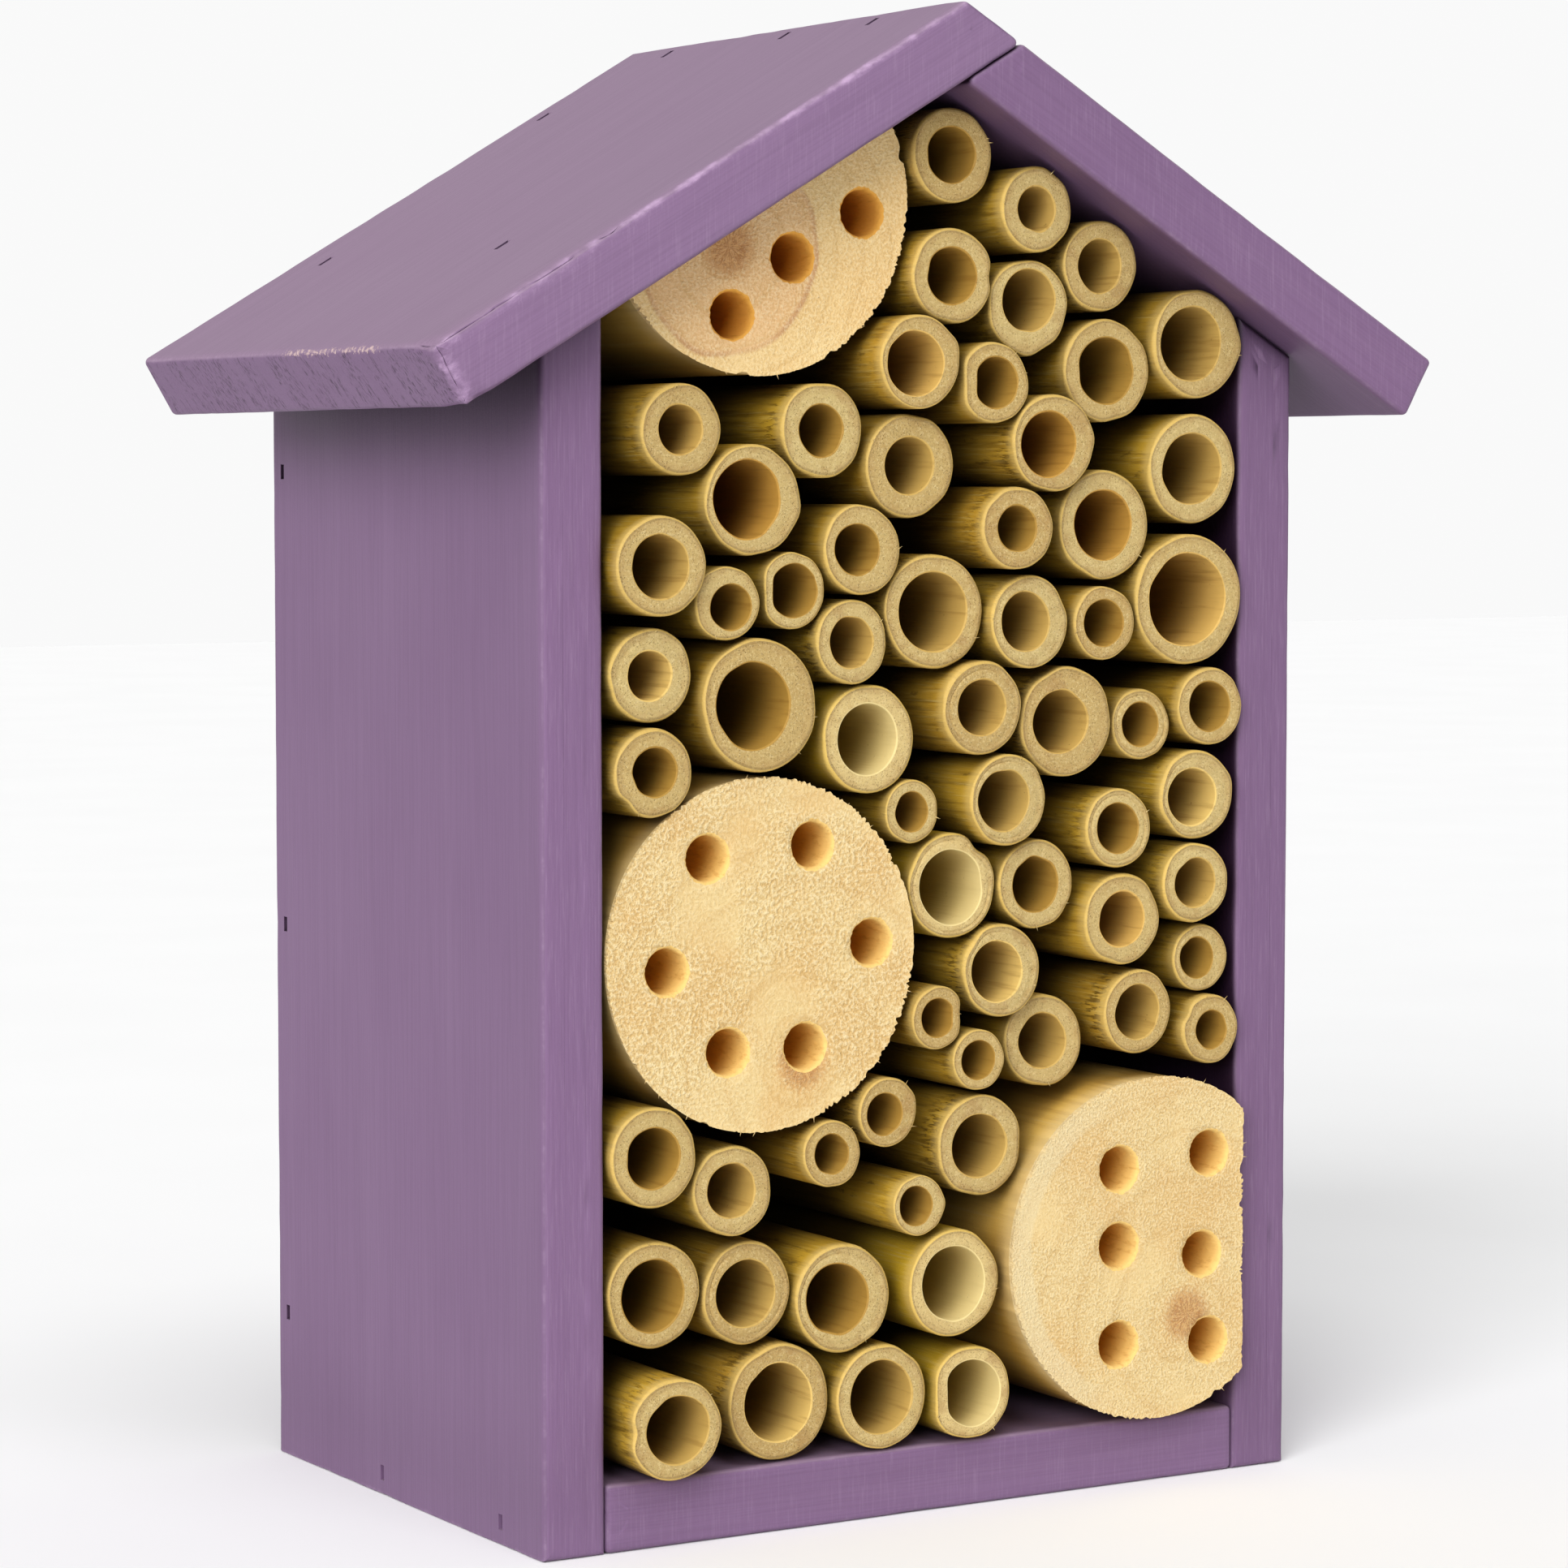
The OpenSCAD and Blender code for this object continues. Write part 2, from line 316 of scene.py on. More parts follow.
class Graph:
    """A material's nodes, with short calls for what the finishes share. colour is its colour so far."""

    def __init__(self, name):
        self.material = bpy.data.materials.new(name)
        self.material.use_nodes = True
        self.tree = self.material.node_tree
        self.tree.nodes.clear()
        self.shader = self.add("BsdfPrincipled")
        self.add("OutputMaterial", {0: self.shader.outputs[0]})

    def add(self, kind, inputs=(), **settings):
        return new_node(self.tree, kind, inputs, **settings)

    def place(self, turn=0.0):
        """Object coordinates in millimetres, turned about Y so that X can follow a slope."""
        return self.stretch(self.add("TexCoord").outputs["Object"], (1000, 1000, 1000), turn)

    def stretch(self, vector, scale, turn=0.0, roll=0.0, shift=(0, 0, 0)):
        """The vector scaled, then turned about Y or rolled about X, then shifted."""
        inputs = {"Vector": vector, "Location": shift, "Rotation": (roll, turn, 0), "Scale": scale}
        return self.add("Mapping", inputs, vector_type="POINT").outputs[0]

    def split(self, vector):
        """A vector's outputs X, Y and Z."""
        return self.add("SeparateXYZ", {0: vector}).outputs

    def length(self, vector):
        return self.add("VectorMath", {0: vector}, operation="LENGTH").outputs["Value"]

    def noise(self, vector, scale, detail=3, roughness=0.6, stretch=None, output="Fac"):
        vector = self.stretch(vector, stretch) if stretch else vector
        inputs = {"Vector": vector, "Scale": scale, "Detail": detail, "Roughness": roughness}
        return self.add("TexNoise", inputs).outputs[output]

    def cells(self, vector, scale):
        return self.add("TexVoronoi", {"Vector": vector, "Scale": scale}).outputs["Distance"]

    def read(self, name):
        """What the mesh says at each vertex under this name."""
        return self.add("Attribute", attribute_name=name).outputs["Fac"]

    def math(self, operation, *values):
        return self.add("Math", enumerate(values), operation=operation).outputs[0]

    def times(self, first, second):
        return self.math("MULTIPLY", first, second)

    def plus(self, first, second):
        return self.math("ADD", first, second)

    def minus(self, first, second):
        return self.math("SUBTRACT", first, second)

    def ramp(self, value, low, high):
        """0 below low, 1 above high, smooth between; low may be above high to turn it round."""
        inputs = {"Value": value, "From Min": low, "From Max": high}
        return self.add("MapRange", inputs, interpolation_type="SMOOTHSTEP").outputs["Result"]

    def mix(self, factor, first, second):
        """Two colours mixed. A Mix node's sockets share names, so the colours' are found by identifier."""
        node = self.add("Mix", data_type="RGBA")
        sockets = {s.identifier: s for s in [*node.inputs, *node.outputs]}
        feed(sockets["Factor_Float"], factor)
        for name, colour in (("A_Color", first), ("B_Color", second)):
            feed(sockets[name], linear(colour) if isinstance(colour, tuple) else colour)
        return sockets["Result_Color"]

    def tint(self, mask, share, colour):
        """Lays another colour over the one so far, as strongly as mask times share."""
        factor = mask if share == 1 else self.times(mask, share)
        self.colour = self.mix(factor, self.colour, colour)

    def grime(self, reach_mm, share, colour, full_at=0.15):
        """Painted shade darkening gaps and inside corners narrower than reach_mm, by ambient occlusion."""
        node = self.add("AmbientOcclusion", {"Distance": mm(reach_mm)}, samples=6)
        self.tint(self.ramp(node.outputs["AO"], 0.9, full_at), share, colour)

    def finish(self, roughness, height, bump_mm, specular=0.3):
        """The colour so far, a roughness, and a bump of about bump_mm where height runs from 0 to 1."""
        bump = self.add("Bump", {"Strength": 1.0, "Distance": mm(bump_mm), "Height": height})
        inputs = {"Base Color": self.colour, "Roughness": roughness, "Specular IOR Level": specular,
                  "Normal": bump.outputs[0]}
        for name, value in inputs.items():
            feed(self.shader.inputs[name], value)
        return self.material


# ---- finishes

PAINT = (117, 90, 122)
PAINT_DEEP = (113, 86, 118)
PAINT_FRONT = (123, 94, 129)
PAINT_TOP_PAINTED_LIGHT = (138, 114, 138)
PAINT_CHALK = (172, 148, 174)
PAINT_RUBBED = (186, 156, 190)
# The dark of the painted shade in the paint's joints, corners and under the eaves
PAINT_PAINTED_SHADE = (25, 6, 27)
BARE_WOOD = (206, 178, 174)
GRAIN_DARK_AND_SHADE = (66, 42, 68)
GRAIN_STRETCH = 0.015
PORE_SLANT = math.radians(-72)
# Heights in mm over which the painted shade fades in above the foot
FOOT_UNSHADED_MM = (-4.0, 34.0)


def paint(name, grain, turn=0.0, front_chalk_and_shade=0.0):
    """Thin semi-matte purple paint on a board whose grain runs along grain ("x" or "z") once turned.

    Its last argument above 0 makes a chalkier front edge, and below 0 lays painted shade on the front edge.
    """
    g = Graph(name)
    place = g.place(turn)
    fibres = g.stretch(place, (GRAIN_STRETCH, 1, 1) if grain == "x" else (1, 1, GRAIN_STRETCH))
    fine = g.noise(fibres, 2.6, 4, 0.6)
    broad = g.noise(fibres, 0.3, 3, 0.5)
    cloud = g.noise(place, 0.02, 3, 0.5)
    stipple = g.noise(place, 2.2, 3, 0.65)
    normal = g.split(g.stretch(g.add("TexCoord").outputs["Normal"], (1, 1, 1), turn))
    front = g.ramp(normal["Y"], -0.8, -0.95)

    g.colour = g.mix(g.times(g.ramp(cloud, 0.35, 0.7), 0.5), PAINT, PAINT_DEEP)
    g.tint(front, 1, PAINT_FRONT)
    # Painted light: upward faces are made lighter and greyer, as where the sky lights them
    g.tint(g.ramp(normal["Z"], 0.3, 0.8), 1, PAINT_TOP_PAINTED_LIGHT)
    # Chalk on the front faces, or painted shade there for the boards on the side away from the light
    g.tint(front, abs(front_chalk_and_shade), PAINT_CHALK if front_chalk_and_shade > 0 else GRAIN_DARK_AND_SHADE)
    g.tint(g.ramp(fine, 0.6, 0.36), 0.11, GRAIN_DARK_AND_SHADE)
    g.tint(g.ramp(broad, 0.5, 0.75), 0.03, PAINT_CHALK)

    # Fine saw lines across the boards' front edges
    saw = g.noise(g.place(), 3.0, 3, 0.6, (1, 1, 0.04))
    g.tint(g.times(g.ramp(saw, 0.5, 0.7), front), 0.13, PAINT_CHALK)

    # Open pores in slanting rows where the grain ends
    end_face = g.ramp(g.math("ABSOLUTE", normal[grain.upper()]), 0.8, 0.95)
    slant = g.stretch(place, (1, 1, 1), roll=PORE_SLANT)
    dashes = g.ramp(g.noise(slant, 1.3, 2, 0.6, (0.8, 0.6, 2.8)), 0.55, 0.64)
    rows = g.ramp(g.noise(slant, 1.0, 2, 0.6, (0.1, 0.04, 0.5)), 0.43, 0.56)
    pores = g.times(g.times(dashes, rows), end_face)
    g.tint(pores, 0.8, GRAIN_DARK_AND_SHADE)

    # Chalky, rubbed arrises, with bare wood where the wear is heaviest
    patches = g.noise(place, 0.3, 5, 0.7)
    g.tint(g.ramp(g.times(g.read("wear"), g.plus(patches, 0.2)), 0.45, 1.0), 0.6, PAINT_CHALK)
    brushed = g.noise(place, 0.9, 5, 0.7, (0.5, 0.5, 1.2))
    chalk = g.ramp(g.times(g.read("chalk"), g.plus(brushed, 0.2)), 0.34, 0.78)
    g.tint(g.times(chalk, g.ramp(g.noise(place, 0.16), 0.34, 0.62)), 0.75, PAINT_RUBBED)
    bare = g.ramp(g.times(g.read("bare"), g.noise(place, 1.1, 4, 0.75)), 0.47, 0.56)
    g.tint(bare, 0.8, BARE_WOOD)

    # Painted shade in the joints, the corners and under the eaves, less of it on soffits and none round the
    # foot
    off_floor = g.ramp(g.split(g.place())["Z"], *FOOT_UNSHADED_MM)
    not_soffit = g.math("MULTIPLY_ADD", g.ramp(normal["Z"], -0.95, -0.6), 0.52, 0.45)
    g.grime(34, g.times(off_floor, not_soffit), PAINT_PAINTED_SHADE, full_at=0.28)
    height = g.plus(g.times(fine, 0.55), g.times(stipple, 0.35))
    height = g.minus(height, g.plus(g.times(pores, 0.9), g.times(bare, 0.6)))
    return g.finish(g.plus(g.times(cloud, 0.15), 0.46), height, 0.09)


def cane_end():
    """Sawn bamboo: fibre dots that crowd towards a darker rind, and a pale inner edge."""
    g = Graph("bamboo_end")
    flat = g.stretch(g.place(), (1, 0.3, 1))
    rim = g.read("rim")
    g.colour = g.mix(g.read("tint"), (206, 182, 122), (192, 162, 102))
    g.tint(g.read("pale"), 1, (218, 192, 130))
    mottle = g.noise(flat, 0.5, 4, 0.65)
    g.tint(g.ramp(mottle, 0.42, 0.7), 0.35, (176, 142, 84))
    dots = g.ramp(g.cells(flat, 2.4), 0.32, 0.1)
    g.tint(g.times(dots, g.ramp(rim, -0.3, 0.9)), 0.4, (134, 100, 50))
    sand = g.ramp(g.noise(flat, 3.2, 3, 0.7), 0.5, 0.36)
    g.tint(sand, 0.3, (168, 132, 76))
    dust = g.ramp(g.noise(flat, 2.0, 3, 0.75), 0.5, 0.64)
    g.tint(dust, 0.5, (232, 210, 154))
    stain = g.times(g.ramp(g.noise(flat, 0.16), 0.56, 0.66), g.read("torn"))
    g.tint(stain, 0.28, (146, 98, 56))
    band = g.times(g.ramp(rim, 0.55, 0.75), g.ramp(mottle, 0.3, 0.6))
    g.tint(band, 0.35, (176, 142, 88))
    rind = g.ramp(rim, 0.9, 1.0)
    g.tint(rind, 0.45, (138, 112, 66))
    height = g.minus(g.noise(flat, 2.6, 5, 0.75), g.times(dots, 0.5))
    return g.finish(0.8, height, 0.28, specular=0.15)


def cane_skin():
    """The outside: yellow to olive, streaked brown, torn behind the cut; painted light near it, painted shade
    further in.
    """
    g = Graph("bamboo_skin")
    place = g.place()
    depth = g.read("depth")
    g.colour = g.mix(g.read("olive"), (224, 180, 62), (190, 152, 42))
    g.tint(g.read("tint"), 0.5, (158, 112, 36))
    clean = g.ramp(g.read("pale"), 1.5, -0.5)
    g.tint(g.read("pale"), 1, (218, 178, 46))
    streaks = g.noise(place, 0.9, 4, 0.6, (1, 0.05, 1))
    threads = g.noise(place, 3.2, 3, 0.65, (1, 0.03, 1))
    spots = g.noise(place, 0.6, 4, 0.7, (1, 0.3, 1))
    g.tint(g.times(g.ramp(streaks, 0.47, 0.66), clean), 0.65, (108, 76, 18))
    g.tint(g.ramp(threads, 0.5, 0.72), 0.4, (224, 200, 120))
    g.tint(g.times(g.ramp(spots, 0.6, 0.7), clean), 0.6, (70, 48, 16))
    splits = g.ramp(g.noise(place, 1.5, 3, 0.6, (1, 0.16, 1)), 0.5, 0.6)
    behind_cut = g.times(g.ramp(depth, 0.6, 1.8), g.ramp(depth, 9.0, 3.0))
    torn = g.times(g.times(splits, behind_cut), g.times(g.read("torn"), clean))
    g.tint(torn, 0.85, (66, 44, 12))
    # Painted light: the skin is paler close to the cut, where light reaches it
    g.tint(g.ramp(depth, 3.6, 0.5), 0.7, (210, 179, 104))
    # Painted shade: darker further behind the cut and in the narrow gaps between canes
    g.tint(g.ramp(depth, 2.5, 25.0), 0.92, (44, 30, 4))
    g.grime(12, 0.72, (40, 26, 2))
    height = g.minus(g.plus(threads, g.times(streaks, 0.5)), torn)
    return g.finish(0.5, height, 0.14)


def cane_bore():
    """The smooth inner wall, cream at the mouth and browner further in, the browning being painted shade."""
    g = Graph("bamboo_bore")
    place = g.place()
    pale, light, warm = g.read("pale"), g.read("light"), g.read("warm")
    # light sets each cane's bore colour, darker for the listed dark and shaded canes, which is partly painted
    # shade
    g.colour = g.mix(light, (172, 134, 60), (222, 190, 112))
    g.tint(warm, 0.5, (200, 150, 66))
    g.tint(pale, 1, (224, 203, 142))
    mouth = g.colour
    # Painted shade: a darker copy of the bore's colour, laid in with depth below
    g.colour = g.mix(warm, (92, 72, 18), (112, 62, 8))
    g.tint(light, 0.5, (140, 104, 36))
    g.tint(pale, 1, (170, 143, 62))
    g.colour = g.mix(g.ramp(g.read("depth"), -4.0, 22.0), mouth, g.colour)
    streaks = g.noise(place, 0.9, 3, 0.55, (1, 0.06, 1))
    g.tint(g.times(g.ramp(streaks, 0.5, 0.72), g.ramp(pale, 1.4, -0.1)), 0.35, (120, 80, 24))
    specks = g.ramp(g.noise(place, 1.1, 3, 0.7), 0.68, 0.74)
    g.tint(specks, 0.55, (70, 40, 12))
    return g.finish(0.5, streaks, 0.10, specular=0.25)


PINE = (222, 196, 141)
PINE_SHADE = (216, 182, 124)
PINE_PALE = (244, 226, 182)
PINE_GRIT = (190, 148, 84)
PINE_PITH = (194, 138, 82)
PINE_HEART = (222, 176, 130)
SWAY_MM = 7.0


def pine_end(name, pith, star, ring_gap, grain=1.65, lumps=1.0, heart=0.0, band=0.0):
    """Rough-sawn end grain: rings round the pith at (x, z), a star of that radius on it, a pinker heart.

    These are in millimetres. grain is how many lumps the saw left in one, and lumps how strong they are.
    band is how strongly the newest wood shows as a paler edge on the side away from the pith.
    """
    g = Graph(name)
    flat = g.stretch(g.place(), (1, 0.2, 1))
    centred = g.stretch(g.place(), (1, 0, 1), shift=(-pith[0], 0, -pith[1]))
    cloud = g.noise(flat, 0.07, 3, 0.5)
    smooth = g.ramp(g.noise(flat, 0.045, 2, 0.5), 0.5, 0.66)
    knobs = g.noise(flat, grain, 2.5, 0.6)
    fine = g.noise(flat, 3.4, 2, 0.7)
    g.colour = g.mix(g.ramp(cloud, 0.35, 0.7), PINE, PINE_SHADE)

    # Rings that sway, and the heart inside one of them
    sway = g.add("VectorMath", {0: g.noise(centred, 0.035, 2, 0.55, output="Color"), "Scale": SWAY_MM},
                 operation="SCALE")
    bent = g.add("VectorMath", {0: centred, 1: sway.outputs[0]}, operation="ADD")
    radius = g.length(g.stretch(bent.outputs[0], (1, 0, 1), shift=(-SWAY_MM / 2, 0, -SWAY_MM / 2)))
    if heart:
        # Painted light: this log's face, which lies in the eave's shade, is made paler all over
        g.colour = g.mix(0.45, g.colour, (240, 204, 144))
        g.tint(g.ramp(radius, heart + 0.6, heart - 0.6), 0.6, PINE_HEART)
        edge = g.times(g.ramp(radius, heart - 1.0, heart), g.ramp(radius, heart + 0.7, heart))
        g.tint(g.times(edge, g.ramp(cloud, 0.25, 0.6)), 0.6, (172, 118, 86))
    phase = g.math("FRACT", g.math("DIVIDE", radius, ring_gap))
    late_wood = g.times(g.ramp(phase, 0.72, 0.96), g.ramp(phase, 1.0, 0.97))
    g.tint(late_wood, 0.22, PINE_GRIT)

    # What the saw left
    rough = g.minus(lumps, g.times(smooth, 0.6 * lumps))
    g.tint(g.times(g.ramp(knobs, 0.5, 0.36), rough), 0.42, PINE_GRIT)
    g.tint(g.times(g.ramp(knobs, 0.46, 0.64), rough), 0.55, PINE_PALE)
    g.tint(g.ramp(fine, 0.5, 0.36), 0.2, PINE_GRIT)
    inset = g.read("inset")
    across = g.split(centred)
    if band:
        newest = g.times(g.ramp(inset, 4.6, 3.6), g.ramp(across["X"], -12.0, -28.0))
        g.tint(newest, band, (226, 212, 172))
    g.tint(g.ramp(inset, 0.9, 0.1), 0.25, (236, 206, 142))

    # The pith: short dark strokes pointing outwards, in a brownish blot
    reach = g.length(centred)
    bearing = g.times(g.math("ARCTAN2", across["X"], across["Z"]), 3.0)
    fan = g.add("CombineXYZ", {0: bearing, 1: g.times(reach, 0.3)})
    strokes = g.noise(fan.outputs[0], 1.9, 4, 0.75)
    ragged = g.plus(reach, g.times(g.plus(strokes, knobs), star))
    blot = g.ramp(ragged, star * 2.2, star * 1.5)
    g.tint(blot, 0.5, PINE_PITH)
    dark = g.times(blot, g.ramp(g.plus(strokes, g.times(knobs, 0.5)), 0.7, 0.8))
    g.tint(dark, 0.6, (156, 98, 50))
    height = g.plus(g.times(knobs, rough), g.times(fine, 0.25))
    return g.finish(0.85, height, 0.5, specular=0.12)


def pine_side():
    """The peeled round of the log: smooth, warm, faint long fibres, painted light near the front, painted
    shade further in.
    """
    g = Graph("pine_side")
    place = g.place()
    fibres = g.noise(place, 0.8, 4, 0.6, (1, 0.03, 1))
    g.colour = g.mix(g.ramp(g.noise(place, 0.03, 3, 0.5), 0.3, 0.7), (236, 194, 100), (216, 166, 70))
    g.tint(g.ramp(fibres, 0.5, 0.75), 0.35, (160, 112, 48))
    g.tint(g.ramp(fibres, 0.45, 0.25), 0.3, (238, 212, 150))
    depth = g.read("depth")
    # Painted light near the sawn front, then painted shade further back and in narrow gaps
    g.tint(g.ramp(depth, 7.0, 0.5), 0.7, (230, 202, 142))
    g.tint(g.ramp(depth, 6.0, 50.0), 0.8, (84, 54, 14))
    g.grime(14, 0.68, (44, 26, 3))
    return g.finish(0.6, fibres, 0.12, specular=0.2)


def pine_hole(name, mouth, inner):
    """Drilled wall: pale at the mouth, orange-brown and darker deeper inside as painted shade, with torn
    fibres.
    """
    g = Graph(name)
    depth = g.read("depth")
    torn = g.noise(g.place(), 0.9, 4, 0.7, (1, 0.25, 1))
    # Painted shade: the wall darkens and turns orange-brown with depth, darkest deep in
    g.colour = g.mix(g.ramp(depth, -2.0, 13.0), mouth, inner)
    g.tint(g.ramp(torn, 0.5, 0.68), 0.35, (178, 112, 22))
    g.tint(g.ramp(depth, 14.0, 34.0), 1, (140, 78, 8))
    return g.finish(0.75, torn, 0.25, specular=0.12)


def brad_steel():
    g = Graph("brad_steel")
    grime = g.noise(g.place(), 1.8, 3, 0.6)
    g.colour = g.mix(g.ramp(grime, 0.35, 0.65), (92, 90, 94), (52, 44, 44))
    g.shader.inputs["Metallic"].default_value = 0.8
    return g.finish(g.plus(g.times(grime, 0.3), 0.4), grime, 0.05, specular=0.5)


# ---- painted boards

ARRIS = mm(1.1)
ARRIS_STEPS = 4
CLOSE_FIT = mm(0.25)
CAP_INSETS = (mm(4.2), mm(2.4))
WAVE_DEPTH = mm(0.12)
NICK_DEPTH = mm(0.22)
ARRIS_REACH = mm(1.6)
CORNER_BLEND = mm(0.5)
RIGHT_ANGLE_PLAY = 0.02
# A brad's slot: height over its head, and how many times the head's size the slot is there
SLOT_PROFILE = ((mm(-0.05), 1.0), (mm(1.0), 1.15), (mm(6.0), 2.2))

# A line that handling has rubbed: how wide, how chalky and bare it is, and how deep the wood is worn
Rub = namedtuple("Rub", "start end reach chalk bare depth")


def spread(length, pace):
    """Shares from 0 to 1 for even steps of about pace, with extra ones close to both ends."""
    steps = max(2, round(length / pace))
    shares = [i / steps for i in range(steps + 1)]
    if length > mm(9):
        for close in (mm(0.8), mm(2.0)):
            shares += [close / length, 1 - close / length]
    return sorted(shares)


def outward(start, end):
    """The direction out of a side of a counter-clockwise outline."""
    along = (end - start).normalized()
    return Vector((along.y, -along.x))


def rounded_outline(corners, inset, pace, rounding):
    """Points round a convex outline inset by inset, its corners rounded to what is left of rounding."""
    count = len(corners)
    radius = max(rounding - inset, mm(0.001))
    depth = max(rounding, inset)
    arcs = []
    for i in range(count):
        here = corners[i]
        before, after = outward(corners[i - 1], here), outward(here, corners[(i + 1) % count])
        bend = before.angle(after)
        centre = here - (before + after).normalized() * (depth / math.cos(bend / 2))
        arc = []
        for step in range(ARRIS_STEPS + 1):
            share = step / ARRIS_STEPS
            direction = before * math.sin((1 - share) * bend) + after * math.sin(share * bend)
            arc.append(centre + direction.normalized() * radius)
        arcs.append(arc)
    points = []
    for i in range(count):
        start, end = arcs[i][-1], arcs[(i + 1) % count][0]
        length = (corners[(i + 1) % count] - corners[i]).length
        points += arcs[i] + [start.lerp(end, share) for share in spread(length, pace)[1:-1]]
    return points


def face_depths(point, corners, front_y, back_y):
    """How deep a point lies behind each face of a board, as (depth, inward direction)."""
    depths = [(point.y - front_y, Vector((0, 1, 0))), (back_y - point.y, Vector((0, -1, 0)))]
    for i in range(len(corners)):
        start = corners[i - 1]
        out = outward(start, corners[i])
        inward = Vector((-out.x, 0, -out.y))
        depths.append(((point.x - start.x) * inward.x + (point.z - start.y) * inward.z, inward))
    return depths


def segment_distance(point, start, end):
    """Distance from a point to a straight line between two others."""
    along = end - start
    share = min(1.0, max(0.0, (point - start).dot(along) / along.length_squared))
    return (point - start - along * share).length


def board(node, material, seed, rubs=(), pace=mm(5), rounding=ARRIS):
    """A painted board with rounded arrises and a faint hand-planed waviness, on its CAD node's outline."""
    low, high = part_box(node)
    corners = board_corners(node)
    ends = [(inset, 0.0) for inset in CAP_INSETS]
    ends += [(ARRIS * (1 - math.sin(a)), ARRIS * (1 - math.cos(a))) for a in quarter_turn(ARRIS_STEPS)[:-1]]
    levels = [(low.y + rise, inset) for inset, rise in ends]
    length = high.y - low.y - 2 * ARRIS
    levels += [(low.y + ARRIS + share * length, 0.0) for share in spread(length, pace)]
    levels += [(high.y - rise, inset) for inset, rise in reversed(ends)]
    mesh = bmesh.new()
    wear, chalk, bare = (mesh.verts.layers.float.new(name) for name in ("wear", "chalk", "bare"))
    rings = tube(mesh, [[(p.x, y, p.y) for p in rounded_outline(corners, inset, pace, rounding)]
                        for y, inset in levels])
    for cap in (rings[0], rings[-1]):
        bmesh.ops.triangulate(mesh, faces=[mesh.faces.new(cap)])
    for vert in mesh.verts:
        depths = face_depths(vert.co, corners, low.y, high.y)
        # The nearest arris is as far away as the second nearest face
        edge = math.exp(-sorted(abs(depth) for depth, _ in depths)[1] / ARRIS_REACH)
        dip = WAVE_DEPTH * (0.5 + 0.5 * wander(vert.co, mm(35), seed))
        dip += edge * NICK_DEPTH * max(0.0, wander(vert.co, mm(6), seed + 3))
        vert[wear] = edge
        for rub in rubs:
            near = math.exp(-(segment_distance(vert.co, rub.start, rub.end) / rub.reach) ** 2)
            vert[chalk] = max(vert[chalk], near * rub.chalk)
            vert[bare] = max(vert[bare], near * rub.bare)
            dip += rub.depth * near * edge * (0.7 + 0.9 * max(-0.7, wander(vert.co, mm(3.5), seed + 5)))
        inward = sum((way * math.exp(-max(depth, 0.0) / CORNER_BLEND) for depth, way in depths), Vector())
        vert.co += inward.normalized() * dip
    return new_piece(node + "_board", mesh, [material], node, smooth_angle=75)


def brad_places(node):
    """Each brad of a node as (middle of its head, axis out of the wood, its head's two half edges)."""
    mesh = welded(node)
    places = []
    for part in loose_parts(mesh):
        # A box's edges are its shortest spans that are square to each other
        edges = []
        for offset in sorted((v.co - part[0].co for v in part[1:]), key=lambda v: v.length):
            if all(abs(offset.normalized().dot(edge.normalized())) < RIGHT_ANGLE_PLAY for edge in edges):
                edges.append(offset)
        half_a, half_b, axis = edges[0] / 2, edges[1] / 2, edges[2]
        centre = sum((v.co for v in part), Vector()) / len(part)
        if axis.dot(centre - (cad_low + cad_high) / 2) < 0:
            axis = -axis
        places.append((centre + axis / 2, axis.normalized(), half_a, half_b))
    mesh.free()
    return places


def cut_brad_slots(piece, places):
    """Cuts the narrow slot that each punched brad leaves in the paint, a little wider at the top."""
    stacks = []
    for head, axis, half_a, half_b in places:
        stacks.append([[head + axis * height + half_a * (a * grow) + half_b * (b * grow) for a, b in SQUARE]
                       for height, grow in SLOT_PROFILE])
    subtract(piece, stacks)


def cut_hanging_hole(piece):
    """The blind hole in the back panel, at the place, radius and depth of its mount, with a broken edge."""
    mount = next(m for m in frame["record"]["mounts"] if m["name"] == "hanging_hole")
    radius = mm(mount["dims"]["r_mm"])
    half_length = mm(mount["dims"]["length_mm"]) / 2
    profile = ((-half_length, radius), (half_length - mm(0.6), radius), (half_length, radius + mm(0.6)),
               (half_length + mm(2), radius + mm(2.6)))
    at = Vector(mount["pos_m"])
    stack = [[at + Vector((r * d.x, y, r * d.y)) for d in compass(48)] for y, r in profile]
    subtract(piece, [stack])


# ---- bamboo canes


def canes(*numbers):
    return tuple("cane_%02d" % number for number in numbers)


PALE_CANES = canes(4, 8, 18, 22)
WARM_CANES = canes(15, 30, 34, 35, 38, 42)
BRIGHT_CANES = canes(2, 14, 15, 19, 26, 30, 42)
# Canes with darker bores: partly their own tone, partly painted shade where a cane lies in the roof's shadow
DARK_AND_SHADED_CANES = canes(5, 7, 10, 17, 21, 25, 32, 33, 34, 35, 38, 40, 41, 45, 48) + ("slim_cane",)
STREAKED_CANES = canes(11, 13, 23, 27, 29) + ("slim_cane_03",)

CANE_SIDES = 60
LIP_STEPS = 4
LIP_MOST = mm(0.85)
LIP_SHARE = 0.26
BORE_LIP = 0.4
END_RINGS = 6
SKIN_BITE = 0.055
BORE_BITE = 0.075
SKIN_STOPS = (0, 0.1, 0.25, 0.42, 0.58, 0.7, 0.8, 0.88, 0.94, 0.975)
BORE_STOPS = (0.03, 0.07, 0.13, 0.2, 0.3, 0.45, 0.7, 1.0)
SAW_GROOVES = (0.0, 0.0, 0.12, 0.22)
END_TILT = math.radians(2.2)
TILT_REACH = mm(12)


